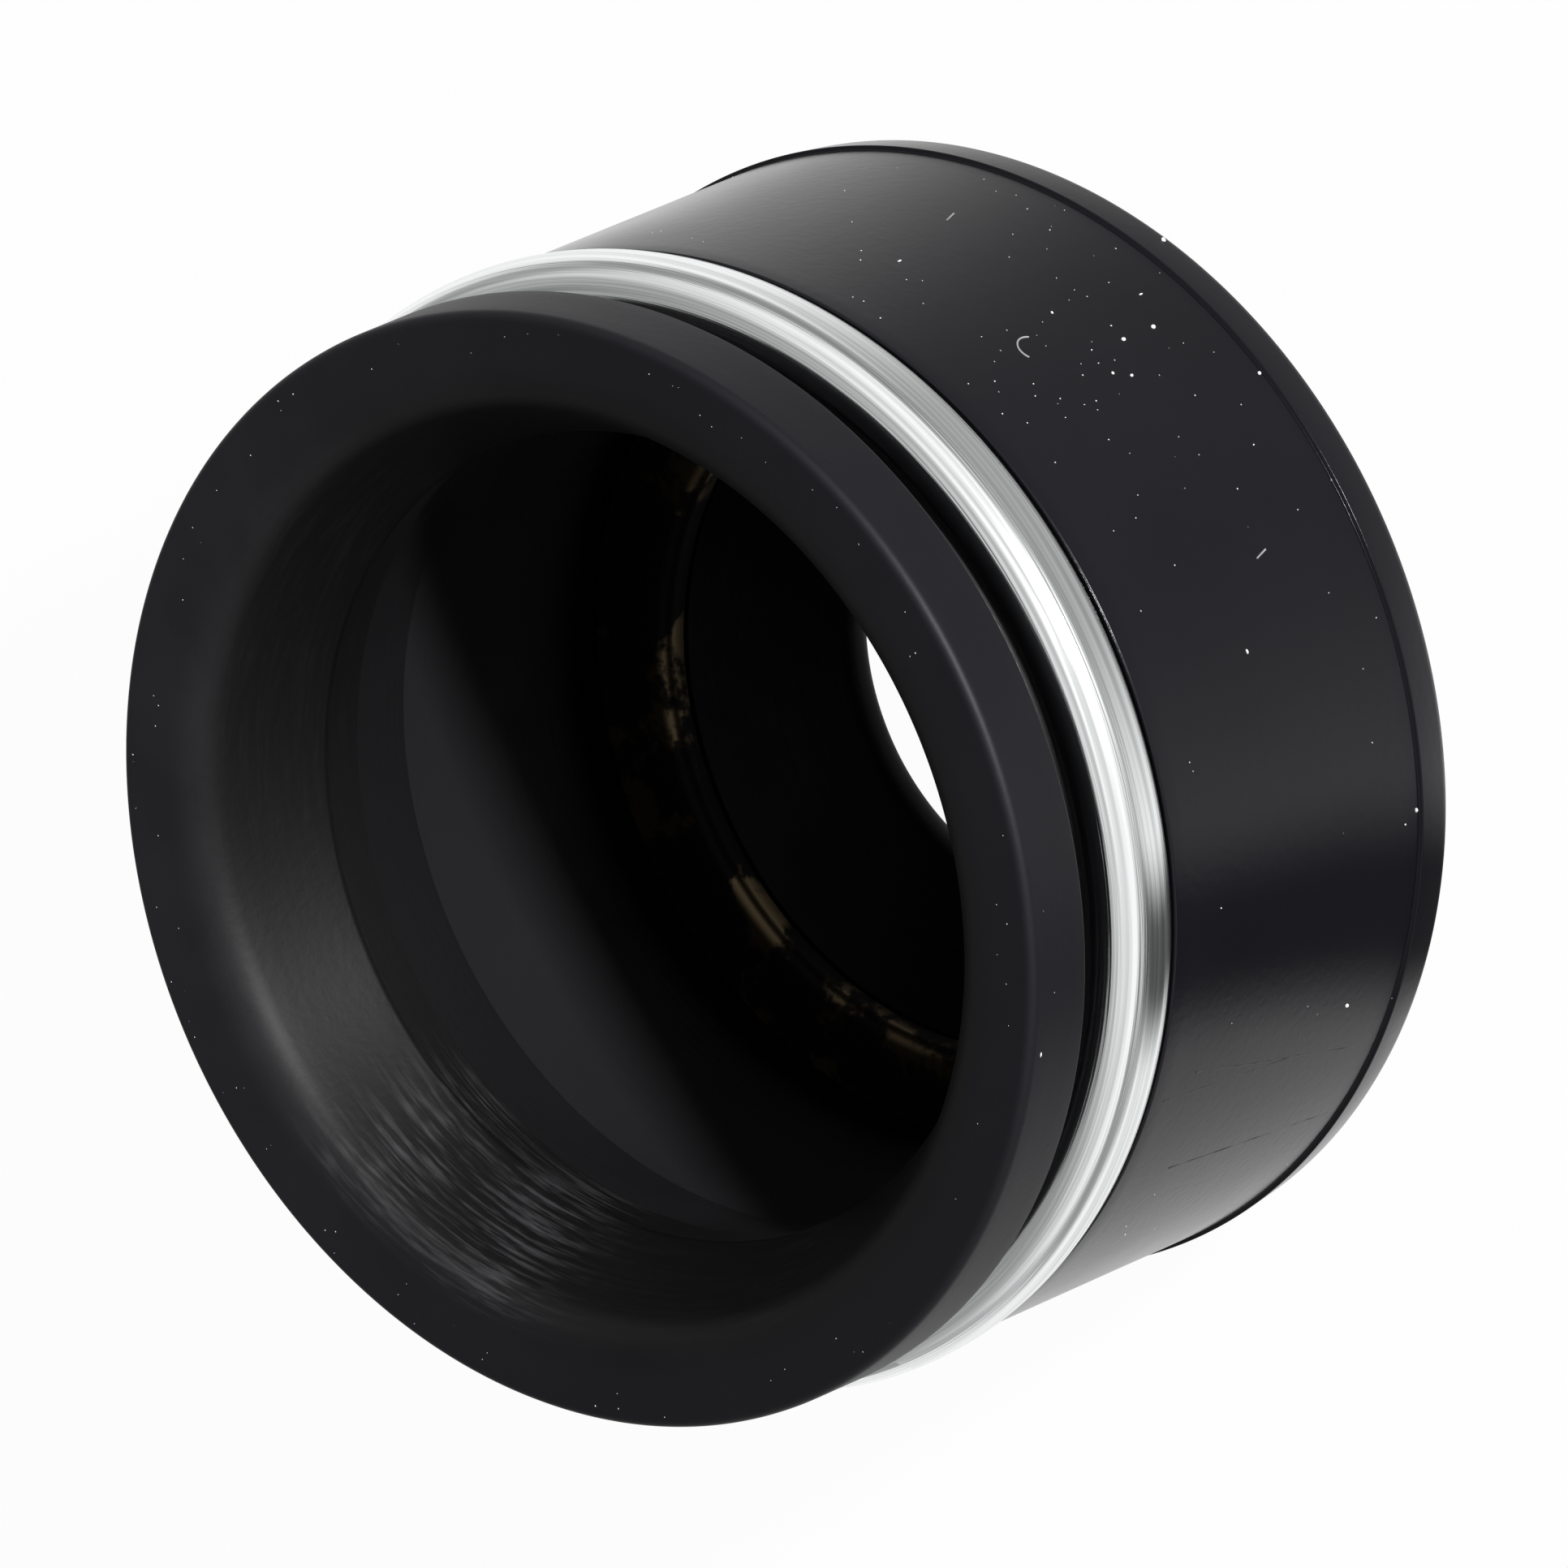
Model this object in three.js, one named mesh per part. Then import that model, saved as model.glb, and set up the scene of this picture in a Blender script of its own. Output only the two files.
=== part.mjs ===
import * as THREE from 'three';

// Valve stem seal, in millimetres. It stands on its lip end, with the socket for the valve guide
// facing up. The axis is Z, and the origin is the middle of the end face that it stands on.
// Four pieces share the axis: a moulded rubber body, a pressed steel insert moulded into its wall,
// a round steel wire that clamps the mouth, and a garter spring round the stem lip.

// Valve train that the seal is made for
const stemDiameter = 5.5;
const guideDiameter = 10;

// Fits of the rubber on the stem and on the guide, on the diameter
const lipSqueeze = 0.16;
const throatSqueeze = 0.56;
const socketClearance = 0.2;

// Socket, as depths below the mouth face
const mouthDiameter = 10.89;
const throatDepth = 1.525;
const gripDepth = 3.355;
const gripLedge = 0.05;
const socketDepth = 6.975;
const mouthRounding = 0.64;
const throatRounding = 0.15;

// Rubber wall on both sides of the insert's skirt, and behind its flange
const sleeveWall = 0.5;
const jacketWall = 0.54;
const shoulderWall = 0.4;

// Outside of the mouth: a short band, then the groove of the clamping wire
const bandHeight = 1;
const bandSetback = 0.06;
const rimRounding = 0.13;
const grooveRounding = 0.06;

// Far edge of the body, which stands proud of the wall from the mould's trim line on
const trimHeight = 0.62;
const trimStep = 0.07;
const trimProud = 0.05;
const shoulderSetback = 0.08;
const shoulderRounding = 0.25;

// Neck that carries the stem lip
const neckRoot = 0.34;
const neckFillet = 0.2;
const neckHold = 0.25;
const beadWidth = 0.37;
const beadHold = 0.12;
const beadRounding = 0.15;
const lipWall = 1.05;
const lipLand = 0.3;
const lipRounding = 0.3;
const lipOffset = 0.15;
const exitAngle = THREE.MathUtils.degToRad(46);

// Pressed steel insert
const sheetThickness = 0.35;
const insertBore = 8.22;
const boreRounding = 0.25;
const bendRadius = 0.55;
const skirtDepth = 3.675;

// Clamping wire, which fills the far side of its groove and stands a little proud of the wall
const clampWire = 1.12;
const clampProud = 0.1;
const grooveSlack = 0.6;

// Garter spring
const springCoil = 0.9;
const springWire = 0.26;
const springTurns = 60;

// Clearances between the pieces
const bondGap = 0.03;
const seatGap = 0.03;

// Fineness of the round surfaces
const segments = 48;
const wireSides = 12;
const cornerSteps = 2;
const sharedReach = 0.48;
const freeReach = 0.98;
const springSeatSteps = 6;
const clampSeatSteps = 5;
const stepsPerTurn = 8;
const springWireSides = 4;

// Radii, from the middle outwards
const lipRadius = (stemDiameter - lipSqueeze) / 2;
const throatRadius = (guideDiameter - throatSqueeze) / 2;
const socketRadius = (guideDiameter + socketClearance) / 2;
const skirtInner = socketRadius + sleeveWall + bondGap;
const skirtOuter = skirtInner + sheetThickness;
const bodyRadius = skirtOuter + bondGap + jacketWall;
const bandRadius = bodyRadius - bandSetback;
const trimRadius = bodyRadius + trimProud;
const clampSeat = clampWire / 2 + seatGap;
const clampRadius = bodyRadius + clampProud - clampWire / 2;
const grooveRadius = clampRadius - clampSeat;
const springSeat = springCoil / 2 + seatGap;
const springRadius = lipRadius + lipWall + springSeat;
const neckRadius = springRadius + neckHold;
const beadRadius = springRadius + beadHold;

// Heights, from the end face upwards
const springHeight = beadWidth + springSeat;
const shoulderHeight = springHeight + springSeat + neckRoot;
const flangeBack = shoulderHeight + shoulderWall + bondGap;
const flangeFace = flangeBack + sheetThickness;
const mouthHeight = flangeFace + socketDepth;
const throatHeight = mouthHeight - throatDepth;
const gripHeight = mouthHeight - gripDepth;
const skirtHeight = mouthHeight - skirtDepth;
const trimLine = shoulderHeight + trimHeight;
const bandBottom = mouthHeight - bandHeight;
const clampHeight = bandBottom - grooveSlack - clampWire / 2;
const lipTop = springHeight - lipOffset + lipLand / 2;
const lipBottom = lipTop - lipLand;
const exitRadius = lipRadius + lipBottom * Math.tan(exitAngle);

// A corner of a section: its distance from the axis, its height and its rounding
const corner = (radius, height, rounding = 0) => ({ at: new THREE.Vector2(radius, height), rounding });

// Points of an arc about a centre, from one angle to another
function arcPoints(centre, radius, from, to, steps) {
  const points = [];
  for (let step = 0; step <= steps; step += 1) {
    const angle = THREE.MathUtils.lerp(from, to, step / steps);
    const reach = new THREE.Vector2(Math.cos(angle), Math.sin(angle)).multiplyScalar(radius);
    points.push(reach.add(centre));
  }
  return points;
}

// How much of the side towards a neighbour a rounding may take: less than half of it where the
// neighbour is rounded too, so that two roundings never meet
function roomTowards(neighbour, here) {
  const share = neighbour.rounding === 0 ? freeReach : sharedReach;
  return here.at.distanceTo(neighbour.at) * share;
}

// One corner of a closed section, rounded by an arc that is tangent to both of its sides
function roundedCorner(before, here, after) {
  if (here.rounding === 0) {
    return [here.at];
  }
  const back = before.at.clone().sub(here.at).normalize();
  const ahead = after.at.clone().sub(here.at).normalize();
  const room = Math.min(roomTowards(before, here), roomTowards(after, here));
  const halfAngle = Math.acos(THREE.MathUtils.clamp(back.dot(ahead), -1, 1)) / 2;
  const tangentLength = Math.min(here.rounding / Math.tan(halfAngle), room);
  const radius = tangentLength * Math.tan(halfAngle);
  const inward = back.clone().add(ahead).normalize();
  const centre = here.at.clone().addScaledVector(inward, radius / Math.sin(halfAngle));
  const start = here.at.clone().addScaledVector(back, tangentLength).sub(centre).angle();
  const end = here.at.clone().addScaledVector(ahead, tangentLength).sub(centre).angle();
  const turn = THREE.MathUtils.euclideanModulo(end - start + Math.PI, 2 * Math.PI) - Math.PI;
  return arcPoints(centre, radius, start, start + turn, cornerSteps);
}

// Sharp corners of a section along an arc
const arcCorners = (points) => points.map((point) => corner(point.x, point.y));

// A closed section from its corners, which run anticlockwise with the axis on their left
function closedSection(corners) {
  const points = corners.flatMap((here, index) => {
    const before = corners.at(index - 1);
    const after = corners[(index + 1) % corners.length];
    return roundedCorner(before, here, after);
  });
  return [...points, points[0].clone()];
}

// A solid of revolution about Z from a closed section
function revolved(section) {
  return new THREE.LatheGeometry(section, segments).rotateX(Math.PI / 2);
}

function namedPiece(name, geometry, finish) {
  const piece = new THREE.Mesh(geometry, new THREE.MeshStandardMaterial(finish));
  piece.name = name;
  return piece;
}

// Neck, lip end and stem lip, from the body's far shoulder round to the flange's bore
function lipEndCorners() {
  const springCentre = new THREE.Vector2(springRadius, springHeight);
  const seat = arcPoints(springCentre, springSeat, 3 * Math.PI / 2, Math.PI / 2, springSeatSteps);
  return [
    corner(insertBore / 2 - bondGap, flangeBack - bondGap),
    corner(lipRadius, lipTop, lipRounding),
    corner(lipRadius, lipBottom, lipRounding),
    corner(exitRadius, 0),
    corner(beadRadius, 0, beadRounding),
    corner(beadRadius, springHeight - springSeat),
    ...arcCorners(seat),
    corner(neckRadius, springHeight + springSeat),
    corner(neckRadius, shoulderHeight, neckFillet),
  ];
}

// Outside wall, from the far shoulder up to the mouth face. The groove is rounded under the wire.
function outsideCorners() {
  const clampCentre = new THREE.Vector2(clampRadius, clampHeight);
  const brimAngle = -Math.acos((bodyRadius - clampRadius) / clampSeat);
  const [brim, ...seat] = arcPoints(clampCentre, clampSeat, brimAngle, -Math.PI, clampSeatSteps);
  return [
    corner(trimRadius - shoulderSetback, shoulderHeight, shoulderRounding),
    corner(trimRadius, trimLine),
    corner(bodyRadius, trimLine + trimStep),
    corner(brim.x, brim.y, grooveRounding),
    ...arcCorners(seat),
    corner(grooveRadius, bandBottom),
    corner(bandRadius, bandBottom, grooveRounding),
    corner(bandRadius, mouthHeight, rimRounding),
  ];
}

// Socket, from the mouth face down to the flange: entry cone, throat, grip and straight wall
function socketCorners() {
  return [
    corner(mouthDiameter / 2, mouthHeight, mouthRounding),
    corner(throatRadius, throatHeight, throatRounding),
    corner(socketRadius - gripLedge, gripHeight),
    corner(socketRadius, gripHeight),
    corner(socketRadius, flangeFace + bondGap),
  ];
}

// Slot that the insert fills, open to the socket at the flange
function slotCorners() {
  return [
    corner(skirtInner - bondGap, flangeFace + bondGap, bendRadius - bondGap),
    corner(skirtInner - bondGap, skirtHeight + bondGap),
    corner(skirtOuter + bondGap, skirtHeight + bondGap),
    corner(skirtOuter + bondGap, flangeBack - bondGap, bendRadius + sheetThickness + bondGap),
  ];
}

// Moulded rubber: one closed section for every surface of it
function sealBody() {
  const corners = [...lipEndCorners(), ...outsideCorners(), ...socketCorners(), ...slotCorners()];
  const rubber = { color: 0x222124, roughness: 0.62, metalness: 0 };
  return namedPiece('seal_body', revolved(closedSection(corners)), rubber);
}

// Pressed steel ring of L section: a flange that the guide stops against and a skirt in the wall
function reinforcementInsert() {
  const corners = [
    corner(insertBore / 2, flangeBack),
    corner(skirtOuter, flangeBack, bendRadius + sheetThickness),
    corner(skirtOuter, skirtHeight),
    corner(skirtInner, skirtHeight),
    corner(skirtInner, flangeFace, bendRadius),
    corner(insertBore / 2, flangeFace, boreRounding),
  ];
  const coatedSteel = { color: 0x4a3a24, roughness: 0.5, metalness: 0.6 };
  return namedPiece('reinforcement_insert', revolved(closedSection(corners)), coatedSteel);
}

// Round wire bent to a ring, which lies in the groove against the body's shoulder
function retainingRing() {
  const centre = new THREE.Vector2(clampRadius, clampHeight);
  const section = arcPoints(centre, clampWire / 2, 0, 2 * Math.PI, wireSides);
  section[wireSides].copy(section[0]);
  const brightSteel = { color: 0xc9cbcc, roughness: 0.18, metalness: 1 };
  return namedPiece('retaining_ring', revolved(section), brightSteel);
}

// Centre line of the garter spring's wire: a coil whose axis is a circle round Z
class GarterCoil extends THREE.Curve {
  getPoint(share, target = new THREE.Vector3()) {
    const round = 2 * Math.PI * share;
    const turn = springTurns * round;
    const coilRadius = (springCoil - springWire) / 2;
    const reach = springRadius + coilRadius * Math.cos(turn);
    const height = springHeight + coilRadius * Math.sin(turn);
    return target.set(reach * Math.cos(round), reach * Math.sin(round), height);
  }
}

// Garter spring: its two ends are hooked together, so the coil is closed
function garterSpring() {
  const coil = new GarterCoil();
  const steps = springTurns * stepsPerTurn;
  coil.arcLengthDivisions = steps;
  const geometry = new THREE.TubeGeometry(coil, steps, springWire / 2, springWireSides, true);
  const springSteel = { color: 0x9a9b9d, roughness: 0.3, metalness: 1 };
  return namedPiece('garter_spring', geometry, springSteel);
}

const valveStemSeal = new THREE.Group();
valveStemSeal.add(sealBody(), reinforcementInsert(), retainingRing(), garterSpring());

export default valveStemSeal;
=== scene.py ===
import math
import random

import bmesh
import bpy
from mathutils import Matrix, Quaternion, Vector


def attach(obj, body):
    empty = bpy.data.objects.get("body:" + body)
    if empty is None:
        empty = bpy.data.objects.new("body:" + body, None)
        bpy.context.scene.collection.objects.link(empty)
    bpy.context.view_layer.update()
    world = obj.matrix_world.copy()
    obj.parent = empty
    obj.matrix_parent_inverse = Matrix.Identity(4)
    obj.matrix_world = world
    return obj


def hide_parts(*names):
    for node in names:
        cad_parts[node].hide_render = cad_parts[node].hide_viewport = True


# Valve stem seal: it stands on its lip end on a white table, seen from above into its mouth.
# Lengths in the dictionaries are millimetres, with the axis on Z, and mm turns them into metres.
mm = 0.001

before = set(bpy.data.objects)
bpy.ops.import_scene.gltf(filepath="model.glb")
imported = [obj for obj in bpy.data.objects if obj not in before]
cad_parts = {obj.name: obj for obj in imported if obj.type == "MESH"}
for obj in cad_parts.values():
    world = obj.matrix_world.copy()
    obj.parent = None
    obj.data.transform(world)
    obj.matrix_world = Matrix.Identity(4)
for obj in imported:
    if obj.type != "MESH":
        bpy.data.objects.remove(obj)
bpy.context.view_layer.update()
scene = bpy.context.scene
print("frame loaded")


# Sections


# One rounded corner of a section: points of an arc that touches both sides
def roundedCorner(before, corner, after, arcSteps):
    here = Vector(corner[:2])
    rounding = corner[2]
    if rounding == 0:
        return [here]
    back = Vector(before[:2]) - here
    ahead = Vector(after[:2]) - here
    backRoom = back.length * (0.98 if before[2] == 0 else 0.48)
    aheadRoom = ahead.length * (0.98 if after[2] == 0 else 0.48)
    back.normalize()
    ahead.normalize()
    halfAngle = math.acos(max(-1, min(1, back.dot(ahead)))) / 2
    tangent = min(rounding / math.tan(halfAngle), backRoom, aheadRoom)
    radius = tangent * math.tan(halfAngle)
    centre = here + (back + ahead).normalized() * (radius / math.sin(halfAngle))
    first = here + back * tangent - centre
    last = here + ahead * tangent - centre
    turn = last.angle_signed(first)
    points = []
    for step in range(arcSteps + 1):
        angle = turn * step / arcSteps
        cosine, sine = math.cos(angle), math.sin(angle)
        arm = Vector((first.x * cosine - first.y * sine, first.x * sine + first.y * cosine))
        points.append(centre + arm)
    return points


# Long sides are cut so that the unevenness of the surface has points to move
def cutLongSides(points, longest):
    cut = []
    for index, point in enumerate(points):
        following = points[(index + 1) % len(points)]
        pieces = max(1, math.ceil((following - point).length / longest))
        cut += [point.lerp(following, piece / pieces) for piece in range(pieces)]
    return cut


# A section object in the XZ plane: a closed loop of edges for the revolve tree
def sectionObject(name, corners, arcSteps, longest):
    points = []
    for index, corner in enumerate(corners):
        after = corners[(index + 1) % len(corners)]
        points += roundedCorner(corners[index - 1], corner, after, arcSteps)
    points = cutLongSides(points, longest)
    mesh = bpy.data.meshes.new(name)
    edges = [(index, (index + 1) % len(points)) for index in range(len(points))]
    mesh.from_pydata([(point.x * mm, 0, point.y * mm) for point in points], edges, [])
    section = bpy.data.objects.new(name, mesh)
    scene.collection.objects.link(section)
    return section


# Geometry node helpers


def newTree(name, inputs):
    tree = bpy.data.node_groups.new(name, "GeometryNodeTree")
    tree.interface.new_socket(name="Geometry", in_out="INPUT", socket_type="NodeSocketGeometry")
    tree.interface.new_socket(name="Geometry", in_out="OUTPUT", socket_type="NodeSocketGeometry")
    for inputName, kind in inputs.items():
        tree.interface.new_socket(name=inputName, in_out="INPUT", socket_type="NodeSocket" + kind)
    return tree


# Adds a node, sets its properties and values, and links what is given as a socket
def addNode(tree, kind, properties=None, **inputs):
    node = tree.nodes.new(kind)
    for name, value in (properties or {}).items():
        setattr(node, name, value)
    for name, value in inputs.items():
        socket = node.inputs[int(name[1:])]
        if isinstance(value, bpy.types.NodeSocket):
            tree.links.new(value, socket)
        else:
            socket.default_value = value
    return node


def mathNode(tree, operation, first, second=0.0):
    return addNode(tree, "ShaderNodeMath", {"operation": operation}, i0=first, i1=second).outputs[0]


# Runs the tree on the object and leaves a plain mesh, with smooth faces and sharp real edges
def bakeTree(target, tree, values, sharpAngle=32):
    modifier = target.modifiers.new("shape", "NODES")
    modifier.node_group = tree
    for item in tree.interface.items_tree:
        if item.in_out == "INPUT" and item.name in values:
            modifier[item.identifier] = values[item.name]
    target.update_tag()
    evaluated = target.evaluated_get(bpy.context.evaluated_depsgraph_get())
    mesh = bpy.data.meshes.new_from_object(evaluated)
    target.modifiers.remove(modifier)
    oldMesh = target.data
    target.data = mesh
    bpy.data.meshes.remove(oldMesh)
    mesh.name = target.name
    work = bmesh.new()
    work.from_mesh(mesh)
    bmesh.ops.remove_doubles(work, verts=work.verts, dist=1e-8)
    bmesh.ops.recalc_face_normals(work, faces=work.faces)
    for face in work.faces:
        face.smooth = True
    for edge in work.edges:
        edge.smooth = len(edge.link_faces) != 2 or edge.calc_face_angle() < math.radians(sharpAngle)
    work.to_mesh(mesh)
    work.free()
    return target


# Sweeps a section round Z. The surface rises unevenly, by up to the given height, as moulded rubber does
def makeRevolveTree():
    tree = newTree("revolveSection", {
        "Ring Radius": "Float",
        "Segments": "Int",
        "Rise Height": "Float",
        "Rise Scale": "Float",
        "Seed": "Float",
        "Material": "Material",
    })
    given = addNode(tree, "NodeGroupInput").outputs
    aside = mathNode(tree, "MULTIPLY", given["Ring Radius"], -1.0)
    shift = addNode(tree, "ShaderNodeCombineXYZ", i0=aside).outputs[0]
    profile = addNode(tree, "GeometryNodeTransform", i0=given["Geometry"])
    profile.inputs["Rotation"].default_value = (math.pi / 2, 0, 0)
    tree.links.new(shift, profile.inputs["Translation"])
    outline = addNode(tree, "GeometryNodeMeshToCurve", i0=profile.outputs[0])
    ring = addNode(tree, "GeometryNodeCurvePrimitiveCircle", {"mode": "RADIUS"}, i0=given["Segments"])
    tree.links.new(given["Ring Radius"], ring.inputs["Radius"])
    upright = addNode(tree, "GeometryNodeSetCurveNormal", {"mode": "Z_UP"}, i0=ring.outputs[0])
    swept = addNode(tree, "GeometryNodeCurveToMesh", i0=upright.outputs[0], i1=outline.outputs[0])
    noise = addNode(tree, "ShaderNodeTexNoise", {"noise_dimensions": "4D"})
    tree.links.new(given["Seed"], noise.inputs["W"])
    tree.links.new(given["Rise Scale"], noise.inputs["Scale"])
    noise.inputs["Detail"].default_value = 3.0
    tree.links.new(addNode(tree, "GeometryNodeInputPosition").outputs[0], noise.inputs["Vector"])
    # The swept faces still point inwards here, so the minus moves the surface outwards
    outward = mathNode(tree, "MULTIPLY", given["Rise Height"], -1.0)
    rise = mathNode(tree, "MULTIPLY", noise.outputs[0], outward)
    normal = addNode(tree, "GeometryNodeInputNormal").outputs[0]
    offset = addNode(tree, "ShaderNodeVectorMath", {"operation": "SCALE"}, i0=normal)
    tree.links.new(rise, offset.inputs["Scale"])
    uneven = addNode(tree, "GeometryNodeSetPosition", i0=swept.outputs[0], i3=offset.outputs[0])
    real = addNode(tree, "GeometryNodeRealizeInstances", i0=uneven.outputs[0])
    finished = addNode(tree, "GeometryNodeSetMaterial", i0=real.outputs[0], i2=given["Material"])
    addNode(tree, "NodeGroupOutput", i0=finished.outputs[0])
    return tree


# Winds a wire round a ring, for the garter spring
def makeCoilTree():
    tree = newTree("windGarterSpring", {
        "Ring Radius": "Float",
        "Coil Radius": "Float",
        "Wire Radius": "Float",
        "Height": "Float",
        "Turns": "Int",
        "Steps per Turn": "Int",
        "Wire Sides": "Int",
        "Material": "Material",
    })
    given = addNode(tree, "NodeGroupInput").outputs
    count = mathNode(tree, "MULTIPLY", given["Turns"], given["Steps per Turn"])
    path = addNode(tree, "GeometryNodeCurvePrimitiveCircle", {"mode": "RADIUS"}, i0=count)
    index = addNode(tree, "GeometryNodeInputIndex").outputs[0]
    share = mathNode(tree, "DIVIDE", index, count)
    roundAngle = mathNode(tree, "MULTIPLY", share, 2 * math.pi)
    coilAngle = mathNode(tree, "MULTIPLY", roundAngle, given["Turns"])
    swing = mathNode(tree, "MULTIPLY", mathNode(tree, "COSINE", coilAngle), given["Coil Radius"])
    reach = mathNode(tree, "ADD", swing, given["Ring Radius"])
    lift = mathNode(tree, "MULTIPLY", mathNode(tree, "SINE", coilAngle), given["Coil Radius"])
    place = addNode(
        tree,
        "ShaderNodeCombineXYZ",
        i0=mathNode(tree, "MULTIPLY", mathNode(tree, "COSINE", roundAngle), reach),
        i1=mathNode(tree, "MULTIPLY", mathNode(tree, "SINE", roundAngle), reach),
        i2=mathNode(tree, "ADD", lift, given["Height"]),
    )
    coil = addNode(tree, "GeometryNodeSetPosition", i0=path.outputs[0], i2=place.outputs[0])
    wire = addNode(tree, "GeometryNodeCurvePrimitiveCircle", {"mode": "RADIUS"}, i0=given["Wire Sides"])
    tree.links.new(given["Wire Radius"], wire.inputs["Radius"])
    swept = addNode(tree, "GeometryNodeCurveToMesh", i0=coil.outputs[0], i1=wire.outputs[0])
    real = addNode(tree, "GeometryNodeRealizeInstances", i0=swept.outputs[0])
    finished = addNode(tree, "GeometryNodeSetMaterial", i0=real.outputs[0], i2=given["Material"])
    addNode(tree, "NodeGroupOutput", i0=finished.outputs[0])
    return tree


# Sets a small round grain on each point, with an uneven size
def makeSpeckTree():
    tree = newTree("strewSpecks", {"Grain Radius": "Float", "Seed": "Int", "Material": "Material"})
    given = addNode(tree, "NodeGroupInput").outputs
    grain = addNode(tree, "GeometryNodeMeshIcoSphere", i1=2)
    tree.links.new(given["Grain Radius"], grain.inputs["Radius"])
    uneven = addNode(tree, "FunctionNodeRandomValue", {"data_type": "FLOAT_VECTOR"})
    uneven.inputs["Min"].default_value = (0.3, 0.3, 0.3)
    uneven.inputs["Max"].default_value = (1.0, 1.0, 1.0)
    tree.links.new(given["Seed"], uneven.inputs["Seed"])
    placed = addNode(tree, "GeometryNodeInstanceOnPoints", i0=given["Geometry"], i2=grain.outputs["Mesh"])
    tree.links.new(uneven.outputs["Value"], placed.inputs["Scale"])
    real = addNode(tree, "GeometryNodeRealizeInstances", i0=placed.outputs[0])
    finished = addNode(tree, "GeometryNodeSetMaterial", i0=real.outputs[0], i2=given["Material"])
    addNode(tree, "NodeGroupOutput", i0=finished.outputs[0])
    return tree


# Lays a fine thread along each line, for fibres and scratches
def makeThreadTree():
    tree = newTree("layThreads", {"Thread Radius": "Float", "Material": "Material"})
    given = addNode(tree, "NodeGroupInput").outputs
    lines = addNode(tree, "GeometryNodeMeshToCurve", i0=given["Geometry"])
    around = addNode(tree, "GeometryNodeCurvePrimitiveCircle", {"mode": "RADIUS"}, i0=6)
    tree.links.new(given["Thread Radius"], around.inputs["Radius"])
    thread = addNode(tree, "GeometryNodeCurveToMesh", i0=lines.outputs[0], i1=around.outputs[0])
    thread.inputs["Fill Caps"].default_value = True
    real = addNode(tree, "GeometryNodeRealizeInstances", i0=thread.outputs[0])
    finished = addNode(tree, "GeometryNodeSetMaterial", i0=real.outputs[0], i2=given["Material"])
    addNode(tree, "NodeGroupOutput", i0=finished.outputs[0])
    return tree


# A point on the outer wall or on the mouth face, from its angle in degrees
def wallPoint(angle, height, radius):
    turned = math.radians(angle)
    return (radius * math.cos(turned) * mm, radius * math.sin(turned) * mm, height * mm)


def pointObject(name, places, lines=()):
    mesh = bpy.data.meshes.new(name)
    mesh.from_pydata(places, list(lines), [])
    thing = bpy.data.objects.new(name, mesh)
    scene.collection.objects.link(thing)
    return thing


# Threads from their own lists of points
def threadObject(name, threads):
    places, lines = [], []
    for thread in threads:
        start = len(places)
        places += thread
        lines += [(start + step, start + step + 1) for step in range(len(thread) - 1)]
    return pointObject(name, places, lines)


# Joins a small mesh to a piece, with the material of its first slot. That slot is empty for the
# instanced grains, which therefore show in plain pale grey
def joinTo(target, small):
    slot = len(target.data.materials)
    target.data.materials.append(small.data.materials[0])
    work = bmesh.new()
    work.from_mesh(target.data)
    before = len(work.faces)
    work.from_mesh(small.data)
    work.faces.ensure_lookup_table()
    for face in work.faces[before:]:
        face.material_index = slot
    work.to_mesh(target.data)
    work.free()
    smallMesh = small.data
    bpy.data.objects.remove(small)
    bpy.data.meshes.remove(smallMesh)


# Material helpers


def newMaterial(name):
    material = bpy.data.materials.new(name)
    material.use_nodes = True
    tree = material.node_tree
    shader = tree.nodes["Principled BSDF"]
    position = addNode(tree, "ShaderNodeTexCoord").outputs["Object"]
    return material, tree, shader, position


# Stretched or plain noise from 0 to 1, by the object's own coordinates in metres
def noiseNode(tree, vector, scale, detail=3.0, roughness=0.5):
    noise = addNode(tree, "ShaderNodeTexNoise")
    tree.links.new(vector, noise.inputs["Vector"])
    noise.inputs["Scale"].default_value = scale
    noise.inputs["Detail"].default_value = detail
    noise.inputs["Roughness"].default_value = roughness
    return noise.outputs[0]


def rangeNode(tree, value, fromLow, fromHigh, toLow=0.0, toHigh=1.0):
    node = addNode(tree, "ShaderNodeMapRange", {"interpolation_type": "SMOOTHSTEP"}, i0=value)
    node.inputs["From Min"].default_value = fromLow
    node.inputs["From Max"].default_value = fromHigh
    node.inputs["To Min"].default_value = toLow
    node.inputs["To Max"].default_value = toHigh
    return node.outputs[0]


def mixColours(tree, factor, first, second):
    node = addNode(tree, "ShaderNodeMix", {"data_type": "RGBA"})
    tree.links.new(factor, node.inputs[0])
    for socket, value in ((node.inputs[6], first), (node.inputs[7], second)):
        if isinstance(value, bpy.types.NodeSocket):
            tree.links.new(value, socket)
        else:
            socket.default_value = (*value, 1.0)
    return node.outputs[2]


# Distance from the axis, height and angle of the shaded point
def roundCoordinates(tree, position):
    axes = addNode(tree, "ShaderNodeSeparateXYZ", i0=position).outputs
    squares = mathNode(tree, "ADD", mathNode(tree, "MULTIPLY", axes[0], axes[0]),
                       mathNode(tree, "MULTIPLY", axes[1], axes[1]))
    radius = mathNode(tree, "SQRT", squares)
    angle = mathNode(tree, "ARCTAN2", axes[1], axes[0])
    return radius, axes[2], angle


# Materials

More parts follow.
